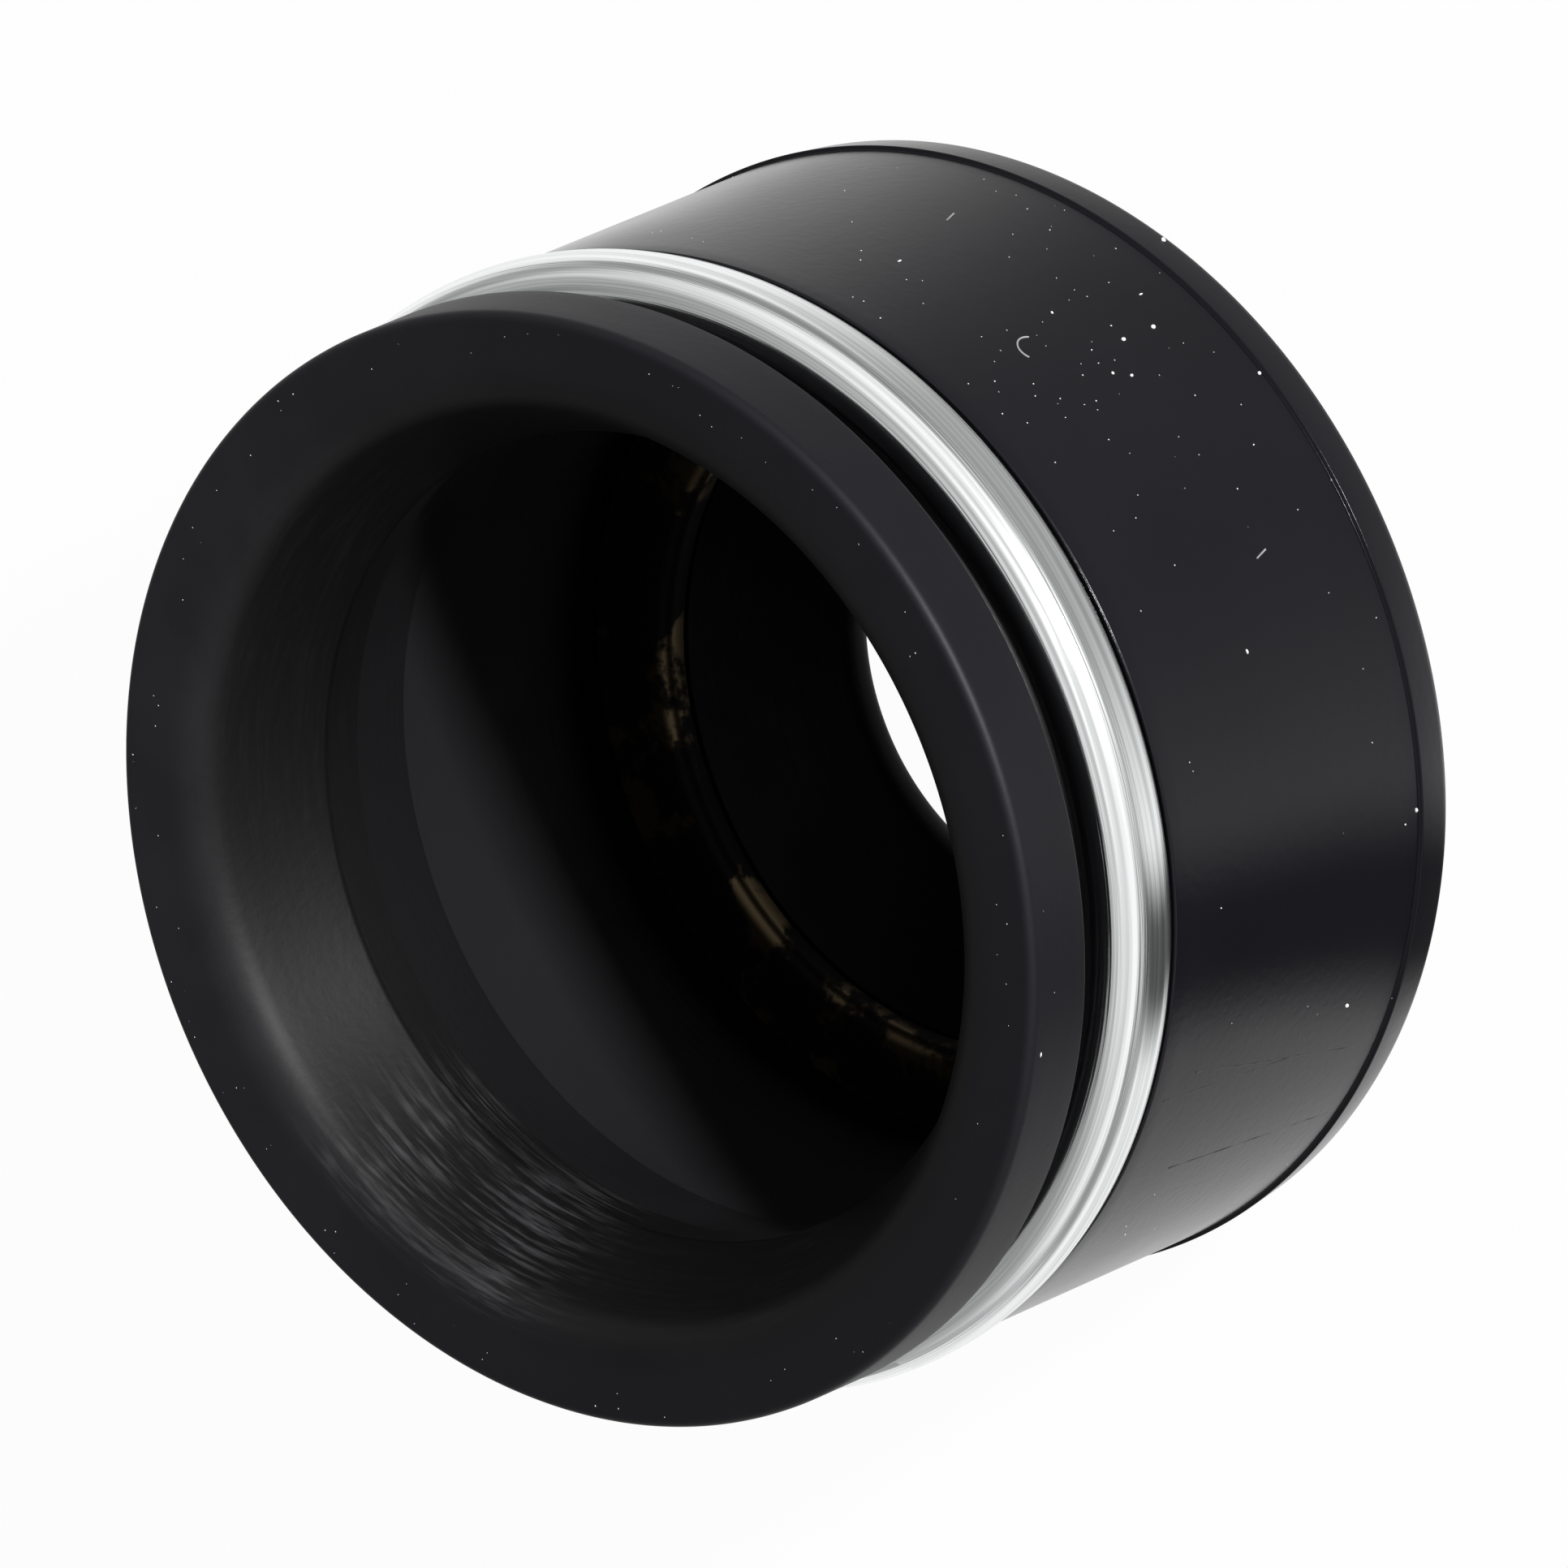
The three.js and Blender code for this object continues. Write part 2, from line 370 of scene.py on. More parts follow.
rubberLook = {
    "dark": (0.0034, 0.0032, 0.0048),
    "light": (0.0064, 0.0060, 0.0086),
    # Painted shade: the colour of the rubber inside the mouth, darker than the same rubber outside
    "inside": (0.0013, 0.0012, 0.0016),
    # Painted reflection: the lighter tint on one side of the mouth face
    "sheenTint": (0.019, 0.018, 0.021),
    # Strokes on the entry cone, lighter than the rubber: mould marks with a painted highlight
    "strokeHighlight": (0.05, 0.049, 0.052),
    "wallRoughness": (0.15, 0.24),
    "insideRoughness": 0.5,
    "specular": 0.2,
    "grain": 0.00002,
}


# Painted reflection on the mouth face: a lighter, uneven tint, strongest on one side
def mouthSheen(tree, position, height):
    axes = addNode(tree, "ShaderNodeSeparateXYZ", i0=position).outputs
    sidePart = mathNode(tree, "MULTIPLY", axes[0], 0.5)
    lean = mathNode(tree, "ADD", sidePart, mathNode(tree, "MULTIPLY", axes[1], 0.87))
    side = rangeNode(tree, lean, -0.001, 0.0065, 0.12, 0.8)
    onFace = rangeNode(tree, height, 0.0091, 0.00938)
    sheen = mathNode(tree, "MULTIPLY", side, onFace)
    uneven = rangeNode(tree, noiseNode(tree, position, 700, 5.0), 0.25, 0.7, 0.5, 1.0)
    return mathNode(tree, "MULTIPLY", sheen, uneven)


# Short broken strokes round the entry cone, left by the mould, with a painted highlight: they show lighter
# along one stretch, where the lamp's light falls on the cone
def coneStrokesAndHighlight(tree, radius, height, angle):
    along = mathNode(tree, "MULTIPLY", angle, 0.00036)
    fine = addNode(tree, "ShaderNodeCombineXYZ", i0=radius, i1=height, i2=along).outputs[0]
    strokes = rangeNode(tree, noiseNode(tree, fine, 15000, 3.0, 0.65), 0.42, 0.7)
    broad = addNode(tree, "ShaderNodeCombineXYZ", i0=mathNode(tree, "MULTIPLY", angle, 0.004)).outputs[0]
    patches = rangeNode(tree, noiseNode(tree, broad, 900, 3.0, 0.6), 0.42, 0.62, 0.45, 1.0)
    # Painted highlight: the strokes are lighter in this stretch of angles, where the lamp's light falls,
    # and faint elsewhere
    start = rangeNode(tree, angle, math.radians(98), math.radians(114))
    end = rangeNode(tree, angle, math.radians(132), math.radians(150), 1.0, 0.0)
    highlightWindow = mathNode(tree, "MAXIMUM", mathNode(tree, "MULTIPLY", start, end), 0.05)
    inside = rangeNode(tree, radius, 0.0055, 0.0058, 1.0, 0.0)
    low = rangeNode(tree, height, 0.0060, 0.0084)
    shade = mathNode(tree, "MULTIPLY", mathNode(tree, "MULTIPLY", strokes, patches), highlightWindow)
    return mathNode(tree, "MULTIPLY", shade, mathNode(tree, "MULTIPLY", inside, low))


def makeRubber():
    material, tree, shader, position = newMaterial("blackRubber")
    radius, height, angle = roundCoordinates(tree, position)
    patches = noiseNode(tree, position, 420, 4.0)
    colour = mixColours(tree, patches, rubberLook["dark"], rubberLook["light"])
    # Painted shade: nearer the axis than 5.5 mm, inside the mouth, the rubber takes the darker colour
    outer = rangeNode(tree, radius, 0.0055, 0.0060)
    colour = mixColours(tree, outer, rubberLook["inside"], colour)
    # Painted reflection: the mouth face is lighter on one side
    colour = mixColours(tree, mouthSheen(tree, position, height), colour, rubberLook["sheenTint"])
    colour = mixColours(tree, coneStrokesAndHighlight(tree, radius, height, angle), colour, rubberLook["strokeHighlight"])
    tree.links.new(colour, shader.inputs["Base Color"])
    smudge = noiseNode(tree, position, 260, 3.0)
    low, high = rubberLook["wallRoughness"]
    wall = rangeNode(tree, smudge, 0.3, 0.7, low, high)
    onWall = rangeNode(tree, radius, 0.0065, 0.00654)
    difference = mathNode(tree, "SUBTRACT", wall, rubberLook["insideRoughness"])
    spread = mathNode(tree, "MULTIPLY", difference, onWall)
    roughness = mathNode(tree, "ADD", spread, rubberLook["insideRoughness"])
    tree.links.new(roughness, shader.inputs["Roughness"])
    shader.inputs["Specular IOR Level"].default_value = rubberLook["specular"]
    grain = noiseNode(tree, position, 9000, 3.0)
    bump = addNode(tree, "ShaderNodeBump")
    bump.inputs["Strength"].default_value = 0.12
    bump.inputs["Distance"].default_value = rubberLook["grain"]
    tree.links.new(grain, bump.inputs["Height"])
    tree.links.new(bump.outputs[0], shader.inputs["Normal"])
    return material


socketLook = {
    # The first two colours are painted shadow, for the socket's depth and the lip. The next two paint the
    # wall lit by the lamp's light, and reliefShade darkens the relief band as painted shade
    "shadowDark": (0.0012, 0.0012, 0.0014),
    "shadowLight": (0.0022, 0.0022, 0.0025),
    "dark": (0.0115, 0.0112, 0.0126),
    "light": (0.0165, 0.0161, 0.0177),
    "roughness": (0.42, 0.55),
    "specular": 0.05,
    "reliefShade": 0.55,
    "grain": 0.00002,
}


# Dry matte rubber in the socket and round the lip, with painted light and shade
def makeSocketRubber():
    material, tree, shader, position = newMaterial("matteSocketRubber")
    radius, height, angle = roundCoordinates(tree, position)
    patches = noiseNode(tree, position, 600, 4.0)
    # Painted light and shade: the lit colours above 4.2 mm, fading to painted shadow below 2.6 mm, and
    # painted shade on the relief band above 6.07 mm
    outOfShadow = rangeNode(tree, height, 0.0026, 0.0042)
    relief = rangeNode(tree, height, 0.00606, 0.00609, 1.0, socketLook["reliefShade"])
    dark = mixColours(tree, patches, socketLook["shadowDark"], socketLook["shadowLight"])
    light = mixColours(tree, patches, socketLook["dark"], socketLook["light"])
    lit = mathNode(tree, "MULTIPLY", outOfShadow, relief)
    tree.links.new(mixColours(tree, lit, dark, light), shader.inputs["Base Color"])
    roughness = rangeNode(tree, patches, 0.3, 0.7, *socketLook["roughness"])
    tree.links.new(roughness, shader.inputs["Roughness"])
    shader.inputs["Specular IOR Level"].default_value = socketLook["specular"]
    along = mathNode(tree, "MULTIPLY", angle, 0.0002)
    fine = addNode(tree, "ShaderNodeCombineXYZ", i0=radius, i1=height, i2=along).outputs[0]
    bump = addNode(tree, "ShaderNodeBump")
    bump.inputs["Strength"].default_value = 0.3
    bump.inputs["Distance"].default_value = socketLook["grain"]
    tree.links.new(noiseNode(tree, fine, 9000, 3.0), bump.inputs["Height"])
    tree.links.new(bump.outputs[0], shader.inputs["Normal"])
    return material


dustLook = {"dark": (0.06, 0.06, 0.065), "light": (0.5, 0.5, 0.49), "roughness": 0.8}


def makePaleDust():
    material, tree, shader, position = newMaterial("paleDust")
    tone = noiseNode(tree, position, 2500, 2.0)
    colour = mixColours(tree, tone, dustLook["dark"], dustLook["light"])
    tree.links.new(colour, shader.inputs["Base Color"])
    shader.inputs["Roughness"].default_value = dustLook["roughness"]
    return material


scuffLook = {"dark": (0.012, 0.012, 0.013), "light": (0.045, 0.044, 0.046), "roughness": 0.45}


def makeScuffedRubber():
    material, tree, shader, position = newMaterial("scuffedRubber")
    tone = noiseNode(tree, position, 6000, 3.0)
    colour = mixColours(tree, tone, scuffLook["dark"], scuffLook["light"])
    tree.links.new(colour, shader.inputs["Base Color"])
    shader.inputs["Roughness"].default_value = scuffLook["roughness"]
    return material


wireLook = {
    "dark": (0.62, 0.64, 0.63),
    "light": (0.95, 0.96, 0.97),
    "roughness": (0.09, 0.2),
    "lineDepth": 0.00002,
}


def makeBrightWire():
    material, tree, shader, position = newMaterial("brightDrawnWire")
    radius, height, angle = roundCoordinates(tree, position)
    along = mathNode(tree, "MULTIPLY", angle, 0.00006)
    across = addNode(tree, "ShaderNodeCombineXYZ", i0=radius, i1=height, i2=along).outputs[0]
    lines = noiseNode(tree, across, 14000, 4.0)
    drawn = rangeNode(tree, lines, 0.32, 0.68)
    colour = mixColours(tree, drawn, wireLook["dark"], wireLook["light"])
    tree.links.new(colour, shader.inputs["Base Color"])
    roughness = rangeNode(tree, lines, 0.3, 0.7, *wireLook["roughness"])
    tree.links.new(roughness, shader.inputs["Roughness"])
    shader.inputs["Metallic"].default_value = 1.0
    bump = addNode(tree, "ShaderNodeBump")
    bump.inputs["Strength"].default_value = 0.4
    bump.inputs["Distance"].default_value = wireLook["lineDepth"]
    tree.links.new(lines, bump.inputs["Height"])
    tree.links.new(bump.outputs[0], shader.inputs["Normal"])
    return material


coatLook = {
    "bare": (0.003, 0.003, 0.004),
    "golden": (0.07, 0.052, 0.03),
    "roughness": (0.55, 0.38),
    "metal": (0.0, 0.8),
    "specular": 0.06,
}


def makeCoatedSteel():
    material, tree, shader, position = newMaterial("coatedSteel")
    patches = noiseNode(tree, position, 900, 5.0, 0.65)
    radius = roundCoordinates(tree, position)[0]
    nearHole = rangeNode(tree, radius, 0.0040, 0.0047, 0.09, -0.03)
    worn = rangeNode(tree, mathNode(tree, "ADD", patches, nearHole), 0.56, 0.66)
    colour = mixColours(tree, worn, coatLook["bare"], coatLook["golden"])
    tree.links.new(colour, shader.inputs["Base Color"])
    roughness = rangeNode(tree, worn, 0.0, 1.0, *coatLook["roughness"])
    tree.links.new(roughness, shader.inputs["Roughness"])
    metal = rangeNode(tree, worn, 0.0, 1.0, *coatLook["metal"])
    tree.links.new(metal, shader.inputs["Metallic"])
    shader.inputs["Specular IOR Level"].default_value = coatLook["specular"]
    return material


springLook = {"dark": (0.30, 0.30, 0.31), "light": (0.48, 0.48, 0.49), "roughness": (0.24, 0.38)}


def makeSpringSteel():
    material, tree, shader, position = newMaterial("springSteel")
    mottle = noiseNode(tree, position, 1500, 3.0)
    colour = mixColours(tree, mottle, springLook["dark"], springLook["light"])
    tree.links.new(colour, shader.inputs["Base Color"])
    roughness = rangeNode(tree, mottle, 0.3, 0.7, *springLook["roughness"])
    tree.links.new(roughness, shader.inputs["Roughness"])
    shader.inputs["Metallic"].default_value = 1.0
    return material


rubber = makeRubber()
socketRubber = makeSocketRubber()
brightWire = makeBrightWire()
coatedSteel = makeCoatedSteel()
springSteel = makeSpringSteel()
paleDust = makePaleDust()
scuffedRubber = makeScuffedRubber()
print("materials made")

revolveTree = makeRevolveTree()
sweepRadius = 5 * mm  # of the circle that the sections are swept along; it changes no shape

# Moulded body: one closed section, anticlockwise with the axis on its left.
# Each corner is its distance from the axis, its height and its rounding.
body = {
    "lipEnd": [
        (4.08, 2.07, 0),
        (2.67, 0.85, 0.3),
        (2.67, 0.55, 0.3),
        (3.24, 0, 0.03),
        (4.32, 0, 0.15),
        (4.32, 0.37, 0.03),
    ],
    "springSeat": {"centre": (4.20, 0.85), "radius": 0.48, "arc": (270, 90), "steps": 16},
    "neck": [
        (4.45, 1.33, 0.03),
        (4.45, 1.67, 0.2),
    ],
    "outside": [
        (6.52, 1.67, 0.25),
        (6.60, 2.325, 0.012),
        (6.552, 2.345, 0.01),
        (6.55, 6.894, 0.06),
    ],
    "clampSeat": {"centre": (6.09, 7.265), "radius": 0.59, "arc": (-45, -180), "steps": 12},
    "band": [
        (5.50, 8.425, 0.05),
        (6.49, 8.425, 0.06),
        (6.49, 9.412, 0.13),
    ],
    "socket": [
        (5.445, 9.412, 0.64),
        (4.72, 7.90, 0.15),
        (5.05, 6.09, 0.02),
        (5.10, 6.07, 0.02),
        (5.10, 2.48, 0),
    ],
    "slot": [
        (5.60, 2.48, 0.52),
        (5.60, 5.78, 0.05),
        (6.01, 5.78, 0.05),
        (6.01, 2.07, 0.93),
    ],
    "arcSteps": 8,
    "longestSide": 0.25,
    "segments": 480,
    "riseHeight": 0.004,
    "riseScale": 300,
    "matteReach": 5.13,
    "matteTop": 7.2,
    "neckReach": 4.1,
    "neckTop": 2.05,
}


# Corners along a round seat of the section
def seatCorners(seat):
    first, last = seat["arc"]
    corners = []
    for step in range(seat["steps"] + 1):
        angle = math.radians(first + (last - first) * step / seat["steps"])
        radius = seat["centre"][0] + seat["radius"] * math.cos(angle)
        height = seat["centre"][1] + seat["radius"] * math.sin(angle)
        corners.append((radius, height, 0))
    return corners


bodyCorners = [
    *body["lipEnd"],
    *seatCorners(body["springSeat"]),
    *body["neck"],
    *body["outside"],
    *seatCorners(body["clampSeat"]),
    *body["band"],
    *body["socket"],
    *body["slot"],
]
sealBody = sectionObject("sealBody", bodyCorners, body["arcSteps"], body["longestSide"])
bakeTree(sealBody, revolveTree, {
    "Ring Radius": sweepRadius,
    "Segments": body["segments"],
    "Rise Height": body["riseHeight"] * mm,
    "Rise Scale": body["riseScale"],
    "Seed": 3.0,
    "Material": rubber,
})


# Faces of the socket and of the lip take the matte rubber
def dressSocket(target):
    slot = len(target.data.materials)
    target.data.materials.append(socketRubber)
    for face in target.data.polygons:
        reach = math.hypot(face.center.x, face.center.y)
        height = face.center.z
        inSocket = reach < body["matteReach"] * mm and height < body["matteTop"] * mm
        onNeck = reach > body["neckReach"] * mm and height < body["neckTop"] * mm
        if inSocket and not onNeck:
            face.material_index = slot


# Dust, fibres and mould marks that lie on the body, as angle and height or radius
bodyMarks = {
    "wallSpecks": [
        (-118, 2.40), (-119, 2.60), (-137, 3.29), (-96, 4.84), (-42, 5.23), (-62, 3.84),
        (-58, 3.00), (-53, 1.90), (-60, 2.13), (-71, 2.40), (-65, 4.41), (-56, 4.38),
        (-62, 3.29), (-66, 4.19),
    ],
    "faceSpecks": [
        (13, 5.92), (40, 5.95), (48, 6.07), (92, 6.32), (98, 5.94), (115, 6.20),
        (129, 6.33), (155, 5.94), (180, 6.05), (153, 6.31),
    ],
    "nibs": [(-121, 9.02), (-134, 8.61), (-127, 9.2), (-112, 9.15), (-98, 9.25)],
    "flash": [(48, 6.47), (128, 6.47), (131, 6.47)],
    "scratches": [
        ((-139, 6.6), (-141, 3.9)),
        ((-137, 6.1), (-144, 2.5)),
        ((-150, 5.8), (-153, 2.6)),
    ],
    "dashes": [((-39, 3.92), (-38.4, 3.7)), ((-88, 4.1), (-87.5, 3.9))],
    "fineDust": 110,
    "seed": 41,
    "wallRadius": 6.552,
    "faceHeight": 9.401,
    "wallGrain": 0.034,
    "faceGrain": 0.022,
    "dustGrain": 0.012,
    "nibGrain": 0.06,
    "threadRadius": 0.012,
    "fibreRadius": 6.556,
}


def addBodyMarks(marks):
    dice = random.Random(marks["seed"])
    speckTree = makeSpeckTree()
    threadTree = makeThreadTree()
    wallPlaces = [wallPoint(angle, height, marks["wallRadius"]) for angle, height in marks["wallSpecks"]]
    wallSpecks = pointObject("wallSpecks", wallPlaces)
    wallGrain = marks["wallGrain"] * mm
    bakeTree(wallSpecks, speckTree, {"Grain Radius": wallGrain, "Seed": 4, "Material": paleDust}, 80)
    facePlaces = [wallPoint(angle, marks["faceHeight"], radius) for angle, radius in marks["faceSpecks"]]
    faceSpecks = pointObject("faceSpecks", facePlaces)
    faceGrain = marks["faceGrain"] * mm
    bakeTree(faceSpecks, speckTree, {"Grain Radius": faceGrain, "Seed": 9, "Material": paleDust}, 80)
    dustPlaces = []
    for grain in range(marks["fineDust"]):
        clustered = grain % 3 > 0
        angle = dice.gauss(-58, 13) if clustered else dice.uniform(-165, 0)
        dustPlaces.append(wallPoint(angle, dice.uniform(1.95, 6.5), 6.55))
        dustPlaces.append(wallPoint(dice.uniform(0, 360), 9.408, dice.uniform(5.95, 6.36)))
    fineDust = pointObject("fineDust", dustPlaces)
    dustGrain = marks["dustGrain"] * mm
    bakeTree(fineDust, speckTree, {"Grain Radius": dustGrain, "Seed": 17, "Material": paleDust}, 80)
    nibPlaces = [wallPoint(angle, height, 6.448) for angle, height in marks["nibs"]]
    nibPlaces += [wallPoint(angle, 9.25, radius) for angle, radius in marks["flash"]]
    nibs = pointObject("nibs", nibPlaces)
    bakeTree(nibs, speckTree, {"Grain Radius": marks["nibGrain"] * mm, "Seed": 23, "Material": rubber}, 80)
    scratchLines = []
    for first, last in marks["scratches"]:
        line = []
        for step in range(25):
            share = step / 24
            angle = first[0] + (last[0] - first[0]) * share
            height = first[1] + (last[1] - first[1]) * share
            line.append(wallPoint(angle, height, 6.546 + dice.uniform(-0.006, 0.004)))
        scratchLines.append(line)
    scratches = threadObject("scratches", scratchLines)
    threadRadius = marks["threadRadius"] * mm
    bakeTree(scratches, threadTree, {"Thread Radius": threadRadius, "Material": scuffedRubber}, 80)
    fibreRadius = marks["fibreRadius"]
    curl = []
    for step in range(17):
        turn = math.radians(-30 + 150 * step / 16)
        curl.append(wallPoint(-59 + 1.6 * math.cos(turn), 5.13 + 0.2 * math.sin(turn), fibreRadius))
    dashLines = []
    for first, last in marks["dashes"]:
        dashLines.append([wallPoint(*first, fibreRadius), wallPoint(*last, fibreRadius)])
    fibres = threadObject("fibres", [curl, *dashLines])
    bakeTree(fibres, threadTree, {"Thread Radius": threadRadius, "Material": paleDust}, 80)
    for small in (wallSpecks, faceSpecks, fineDust, nibs, scratches, fibres):
        joinTo(sealBody, small)


dressSocket(sealBody)
addBodyMarks(bodyMarks)
print("body marks added")
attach(sealBody, "root")
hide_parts("seal_body")
print("seal body made", len(sealBody.data.polygons), "faces")

# Pressed steel ring of L section, bonded into the body
insert = {
    "corners": [
        (4.11, 2.10, 0.03),
        (5.98, 2.10, 0.90),
        (5.98, 5.75, 0.05),
        (5.63, 5.75, 0.05),
        (5.63, 2.45, 0.55),
        (4.11, 2.45, 0.25),
    ],
    "arcSteps": 6,
    "longestSide": 0.3,
    "segments": 360,
    "riseHeight": 0.008,
    "riseScale": 500.0,
}
reinforcementInsert = sectionObject(
    "reinforcementInsert", insert["corners"], insert["arcSteps"], insert["longestSide"])
bakeTree(reinforcementInsert, revolveTree, {
    "Ring Radius": sweepRadius,
    "Segments": insert["segments"],
    "Rise Height": insert["riseHeight"] * mm,
    "Rise Scale": insert["riseScale"],
    "Seed": 11.0,
    "Material": coatedSteel,
})
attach(reinforcementInsert, "root")
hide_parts("reinforcement_insert")
print("insert made", len(reinforcementInsert.data.polygons), "faces")

# Clamping wire in the groove
clamp = {
    "ringRadius": 6.09,
    "height": 7.265,
    "wireRadius": 0.56,
    "sides": 48,
    "segments": 480,
}
clampCorners = []
for side in range(clamp["sides"]):
    sideAngle = 2 * math.pi * side / clamp["sides"]
    clampCorners.append((
        clamp["ringRadius"] + clamp["wireRadius"] * math.cos(sideAngle),
        clamp["height"] + clamp["wireRadius"] * math.sin(sideAngle),
        0,
    ))
retainingRing = sectionObject("retainingRing", clampCorners, 1, 1.0)
bakeTree(retainingRing, revolveTree, {
    "Ring Radius": sweepRadius,
    "Segments": clamp["segments"],
    "Rise Height": 0.0,
    "Rise Scale": 300.0,
    "Seed": 1.0,
    "Material": brightWire,
})
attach(retainingRing, "root")
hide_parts("retaining_ring")
print("retaining ring made", len(retainingRing.data.polygons), "faces")

# Garter spring round the lip, a closed coil
spring = {
    "ringRadius": 4.20,
    "height": 0.85,
    "coilRadius": 0.32,
    "wireRadius": 0.13,
    "turns": 60,
    "stepsPerTurn": 16,
    "wireSides": 10,
}
springMesh = bpy.data.meshes.new("garterSpring")
garterSpring = bpy.data.objects.new("garterSpring", springMesh)
scene.collection.objects.link(garterSpring)
bakeTree(garterSpring, makeCoilTree(), {
    "Ring Radius": spring["ringRadius"] * mm,
    "Coil Radius": spring["coilRadius"] * mm,
    "Wire Radius": spring["wireRadius"] * mm,
    "Height": spring["height"] * mm,
    "Turns": spring["turns"],
    "Steps per Turn": spring["stepsPerTurn"],
    "Wire Sides": spring["wireSides"],
    "Material": springSteel,
}, sharpAngle=80)
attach(garterSpring, "root")
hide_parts("garter_spring")
print("garter spring made", len(garterSpring.data.polygons), "faces")

# Table and backdrop: white to the camera, darker in places in reflections, with a very faint shadow
stageLook = {
    "size": 400.0,
    "white": 0.9,
    "glowShare": 0.97,
    "worldStrength": 0.1,
    "ceiling": 0.33,
    "open": 1.0,
    "horizon": 0.42,
    "dimFrom": (26.0, 44.0),
    "cards": [
        {"at": -137, "width": 19, "tone": 0.08},
        {"at": -65, "width": 62, "tone": 0.45},
    ],
}


# 1 for rays that show the white backdrop, 0 for rays that only carry light
def seesBackdrop(tree):
    rays = addNode(tree, "ShaderNodeLightPath").outputs
    direct = mathNode(tree, "MAXIMUM", rays["Is Camera Ray"], rays["Is Glossy Ray"])
    return mathNode(tree, "MAXIMUM", direct, rays["Is Transmission Ray"])


# How bright the table shows in reflections: dim far off, and as if dark cards stood beside the seal
def floorTone(tree):
    position = addNode(tree, "ShaderNodeTexCoord").outputs["Object"]
    radius, _, angle = roundCoordinates(tree, position)
    near, far = stageLook["dimFrom"]
    tone = rangeNode(tree, radius, near * mm, far * mm, 1.0, stageLook["horizon"])
    for card in stageLook["cards"]:
        aside = mathNode(tree, "ABSOLUTE", mathNode(tree, "SUBTRACT", angle, math.radians(card["at"])))
        width = math.radians(card["width"])
        shade = rangeNode(tree, aside, width * 0.25, width, card["tone"], 1.0)
        tone = mathNode(tree, "MULTIPLY", tone, shade)
    return tone


def makeFloor():
    half = stageLook["size"] * mm / 2
    mesh = bpy.data.meshes.new("floor")
    corners = [(-half, -half, 0), (half, -half, 0), (half, half, 0), (-half, half, 0)]
    mesh.from_pydata(corners, [], [(0, 1, 2, 3)])
    floor = bpy.data.objects.new("floor", mesh)
    scene.collection.objects.link(floor)
    material = bpy.data.materials.new("whiteTable")
    material.use_nodes = True
    tree = material.node_tree
    tree.nodes.clear()
    card = addNode(tree, "ShaderNodeBsdfDiffuse")
    card.inputs["Color"].default_value = (stageLook["white"], stageLook["white"], stageLook["white"], 1)
    glow = addNode(tree, "ShaderNodeEmission")
    isCamera = addNode(tree, "ShaderNodeLightPath").outputs["Is Camera Ray"]
    tree.links.new(mathNode(tree, "MAXIMUM", isCamera, floorTone(tree)), glow.inputs["Strength"])
    share = mathNode(tree, "MULTIPLY", seesBackdrop(tree), stageLook["glowShare"])
    mixed = addNode(tree, "ShaderNodeMixShader", i0=share, i1=card.outputs[0], i2=glow.outputs[0])
    output = addNode(tree, "ShaderNodeOutputMaterial")
    tree.links.new(mixed.outputs[0], output.inputs["Surface"])
    mesh.materials.append(material)
    return floor


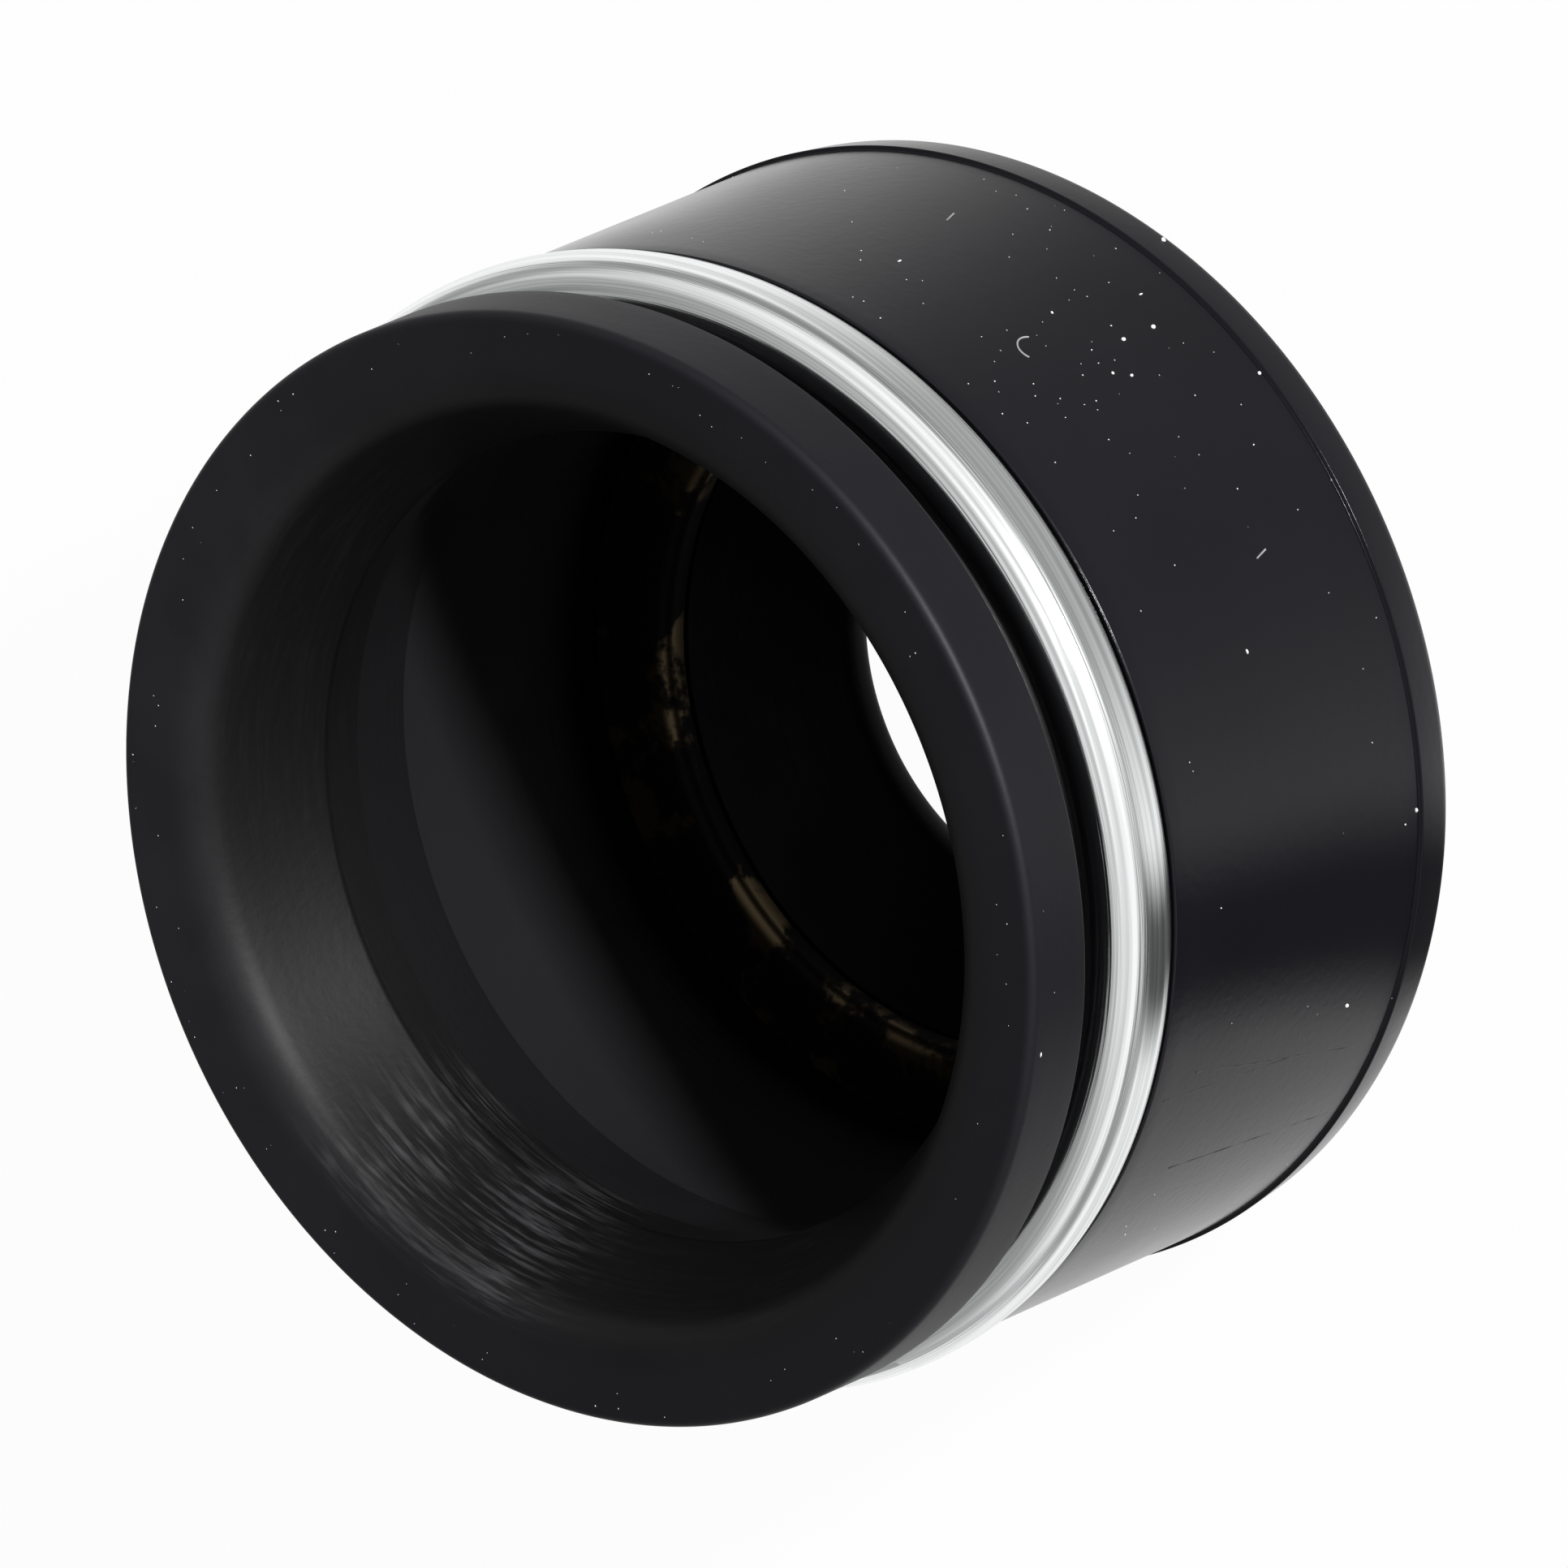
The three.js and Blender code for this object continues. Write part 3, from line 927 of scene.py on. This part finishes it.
# White to the camera. In reflections it is bright on the camera's side, dim above and behind, and
# dim at the horizon, as a room is
def makeWorld():
    world = bpy.data.worlds.new("studio")
    world.use_nodes = True
    scene.world = world
    tree = world.node_tree
    tree.nodes.clear()
    soft = addNode(tree, "ShaderNodeBackground")
    soft.inputs["Color"].default_value = (1, 1, 1, 1)
    soft.inputs["Strength"].default_value = stageLook["worldStrength"]
    direction = addNode(tree, "ShaderNodeTexCoord").outputs["Object"]
    axes = addNode(tree, "ShaderNodeSeparateXYZ", i0=direction).outputs
    backPart = mathNode(tree, "MULTIPLY", axes[1], 0.666)
    behind = mathNode(tree, "ADD", backPart, mathNode(tree, "MULTIPLY", axes[2], 0.746))
    ceiling = rangeNode(tree, behind, 0.1, 0.85, stageLook["open"], stageLook["ceiling"])
    horizon = rangeNode(tree, axes[2], 0.0, 0.2, stageLook["horizon"], 1.0)
    reflected = mathNode(tree, "MULTIPLY", ceiling, horizon)
    isCamera = addNode(tree, "ShaderNodeLightPath").outputs["Is Camera Ray"]
    shown = addNode(tree, "ShaderNodeBackground")
    shown.inputs["Color"].default_value = (1, 1, 1, 1)
    tree.links.new(mathNode(tree, "MAXIMUM", isCamera, reflected), shown.inputs["Strength"])
    share = seesBackdrop(tree)
    mixed = addNode(tree, "ShaderNodeMixShader", i0=share, i1=soft.outputs[0], i2=shown.outputs[0])
    output = addNode(tree, "ShaderNodeOutputWorld")
    tree.links.new(mixed.outputs[0], output.inputs["Surface"])


# Soft lamps, each aimed at the seal: place, width and power
lamps = {
    "key": {"at": (25, -223.5, 112), "width": 22, "watts": 0.85},
}


def makeLamp(name, lamp):
    data = bpy.data.lights.new(name, "AREA")
    data.shape = "SQUARE"
    data.size = lamp["width"] * mm
    data.energy = lamp["watts"]
    light = bpy.data.objects.new(name, data)
    light.location = Vector(lamp["at"]) * mm
    light.rotation_mode = "QUATERNION"
    aim = Vector((0, 0, 5)) * mm - light.location
    light.rotation_quaternion = aim.to_track_quat("-Z", "Y")
    scene.collection.objects.link(light)


makeFloor()
makeWorld()
for lampName, lampValues in lamps.items():
    makeLamp(lampName, lampValues)
print("stage made")

# Camera, as the photo was taken: from above into the mouth, turned on its side
view = {
    "target": (-0.015, -1.884, 7.667),
    "distance": 378.27,
    "elevation": 48.23,
    "roll": -113.12,
    "lens": 775.02,
    "sensor": 36.0,
}


def makeCamera():
    data = bpy.data.cameras.new("camera")
    data.lens = view["lens"]
    data.sensor_width = view["sensor"]
    data.clip_start = 10 * mm
    data.clip_end = 2.0
    camera = bpy.data.objects.new("camera", data)
    elevation = math.radians(view["elevation"])
    back = Vector((0, -math.cos(elevation), math.sin(elevation)))
    camera.location = (Vector(view["target"]) + back * view["distance"]) * mm
    camera.rotation_mode = "QUATERNION"
    level = (-back).to_track_quat("-Z", "Y")
    camera.rotation_quaternion = level @ Quaternion((0, 0, 1), math.radians(view["roll"]))
    scene.collection.objects.link(camera)
    scene.camera = camera


makeCamera()
scene.view_settings.view_transform = "Standard"

print("camera made")
